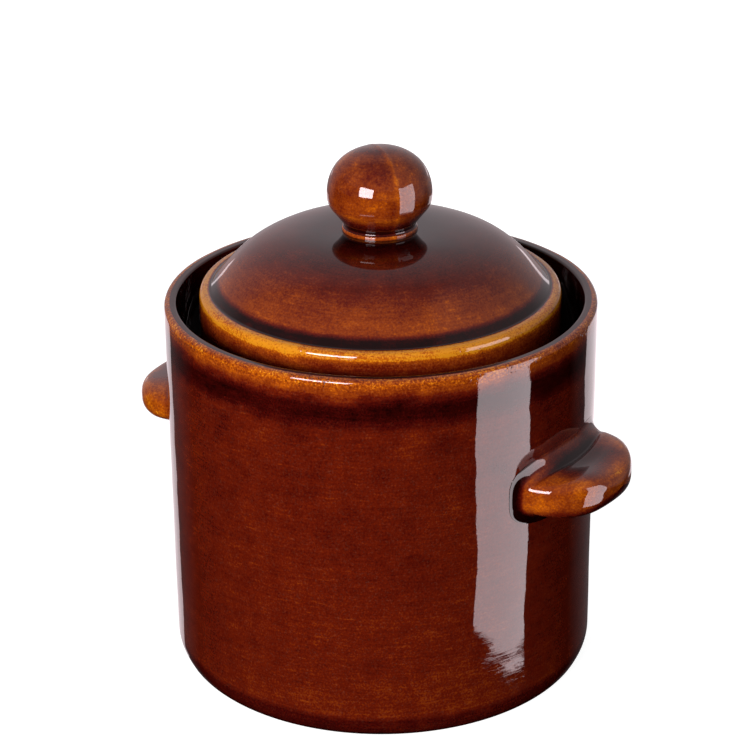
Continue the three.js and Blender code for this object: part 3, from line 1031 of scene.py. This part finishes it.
def makeKnob(shape):
    low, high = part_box("lid_knob")
    radius, base, top = high.x / mm, low.z / mm, high.z / mm
    band = top - shape["capRise"]
    neckTop = base + shape["footHeight"] + shape["neckHeight"]
    flareTop = base + shape["flareHeight"]
    flareOut, flareUp = shape["neckFlare"]
    pulls = [Vector((radius, band)), Vector((radius, band + shape["fullness"] * shape["capRise"])),
             Vector((shape["fullness"] * radius, top)), Vector((0, top))]
    cap = []
    for k in range(shape["capSteps"] + 1):
        t = k / shape["capSteps"]
        spot = cubicSpot(pulls, t)
        cap.append((spot.x, spot.y, 0, ladder(t, shape["capCoat"]), 0, shape["capWaver"]))
    neckRound = shape["neckRound"]
    corners = [
        (0, base - shape["intoDome"], 0, 0.5, 0),
        (shape["foot"], base - shape["intoDome"], 0, 0.5, 0),
        (shape["foot"], base + shape["footHeight"] * shape["footTop"], neckRound, 0.24, 0),
        (shape["neck"], base + shape["footHeight"] * shape["neckFoot"], neckRound, 0.75, 0),
        (shape["neck"], neckTop, neckRound, 0.95, 0),
        (shape["neck"] + flareOut, neckTop + flareUp, 0, 0.66, 0, 0.5),
        (radius - shape["flareInset"], flareTop, shape["flareRound"], 0.34, 0, 0.8),
        (radius - shape["bandInset"] * shape["flareInset"], (flareTop + band) / 2, shape["bandRound"],
         0.38, 0, 0.6),
        *cap,
    ]
    towards, level, back, right = cameraAxes(cameraPlan)
    turn = math.radians(shape["seamTurn"])
    across = level * math.cos(turn) - towards * math.sin(turn)
    outline = softOutline(corners, longestStep=shape["longestStep"])
    return throwPiece("ballKnob", outline, False, lidGlaze, **{
        "Segments": shape["segments"], "Seat": base * mm, "Seat Fade": shape["seatFade"] * mm,
        "Seed": shape["seed"], "Wander": shape["wander"] * mm, "Wander Size": shape["wanderSize"] * mm,
        "Ripple": shape["ripple"] * mm, "Ripple Size": shape["rippleSize"] * mm,
        "Seam Across": tuple(across), "Seam Width": shape["seamWidth"] * mm,
        "Seam Height": shape["seamHeight"] * mm})


knob = makeKnob(knobShape)
settle(knob, "lid_knob", "lid_with_knob")


# weight stones: two half discs of bare clay with a finger hole between them

stoneShape = {
    "split": 3.0,
    "fingerHole": 26.0,
    "edgeRound": 2.5,
    "edgeSteps": 4,
    "edgeAngle": 40.0,         # degrees, above which an edge is rounded
    "arcSteps": 72,
    "holeSteps": 28,
}


def makeStone(name, node, body, shape, side):
    low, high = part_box("right_weight_stone")
    radius, flatEdge, hole = high.x / mm, shape["split"] / 2, shape["fingerHole"] / 2
    corner, mouth = math.acos(flatEdge / radius), math.acos(flatEdge / hole)
    outline = []
    for reach, start, end, steps in ((radius, -corner, corner, shape["arcSteps"]),
                                     (hole, mouth, -mouth, shape["holeSteps"])):
        for k in range(steps + 1):
            angle = start + (end - start) * k / steps
            outline.append((reach * math.cos(angle) * side * mm, reach * math.sin(angle) * side * mm))
    slab = bmesh.new()
    face = slab.faces.new([slab.verts.new((x, y, low.z)) for x, y in outline])
    grown = bmesh.ops.extrude_face_region(slab, geom=[face])["geom"]
    bmesh.ops.translate(slab, verts=[v for v in grown if isinstance(v, bmesh.types.BMVert)],
                        vec=(0, 0, high.z - low.z))
    bmesh.ops.recalc_face_normals(slab, faces=slab.faces)
    mesh = bpy.data.meshes.new(name)
    slab.to_mesh(mesh)
    slab.free()
    mesh.materials.append(stoneClay)
    holder = addObject(name + "Raw", mesh)
    rounded = holder.modifiers.new("roundedEdges", "BEVEL")
    rounded.width = shape["edgeRound"] * mm
    rounded.segments = shape["edgeSteps"]
    rounded.limit_method = "ANGLE"
    rounded.angle_limit = math.radians(shape["edgeAngle"])
    stone = plainMesh(holder, name)
    settle(stone, node, body)
    return stone


makeStone("rightWeightStone", "right_weight_stone", "right_stone", stoneShape, 1)
makeStone("leftWeightStone", "left_weight_stone", "left_stone", stoneShape, -1)
